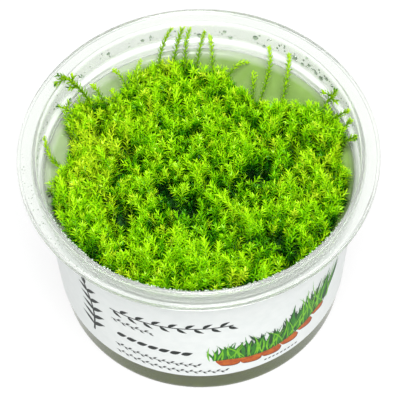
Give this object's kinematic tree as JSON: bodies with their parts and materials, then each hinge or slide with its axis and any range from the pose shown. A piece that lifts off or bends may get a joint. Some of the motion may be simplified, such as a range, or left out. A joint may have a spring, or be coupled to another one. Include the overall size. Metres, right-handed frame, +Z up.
{
  "type": "tissue culture moss cup",
  "caption": "Clear open culture cup with a flat rim and a label round its wall, holding a tangled mat of green feather-moss on a bed of gel.",
  "frame": {"origin": "centre of the cup's foot, on the surface it stands on", "axes": "+Z up through the mouth, +X to the viewer's right, -Y towards the viewer in the picture"},
  "size_m": [0.1, 0.1, 0.0639],
  "materials": {
    "cup_plastic": "clear moulded polypropylene, glossy",
    "label_film": "white film, satin",
    "nutrient_gel": "milky green jelly, wet",
    "moss": "fine moist leaves, satin"
  },
  "bodies": {
    "root": {"cup": "cup_plastic", "label": "label_film", "gel": "nutrient_gel", "moss_mat": "moss", "shoot_leafy_left": "moss", "shoot_left_bent": "moss", "shoot_left_hooked": "moss", "shoot_left_thin": "moss", "shoot_left_short": "moss", "shoot_left_upright": "moss", "shoot_back_flat": "moss", "shoot_back_long": "moss", "shoot_back_arched": "moss", "shoot_back_leafy": "moss", "shoot_back_straight": "moss", "shoot_fork_left": "moss", "shoot_fork_right": "moss", "shoot_on_gel": "moss", "shoot_gel_upright": "moss", "shoot_gel_bent": "moss", "shoot_gel_leafy": "moss", "shoot_right_forked": "moss", "shoot_right_thin": "moss", "shoot_right_bud": "moss", "shoot_right_stub": "moss"}
  },
  "joints": []
}
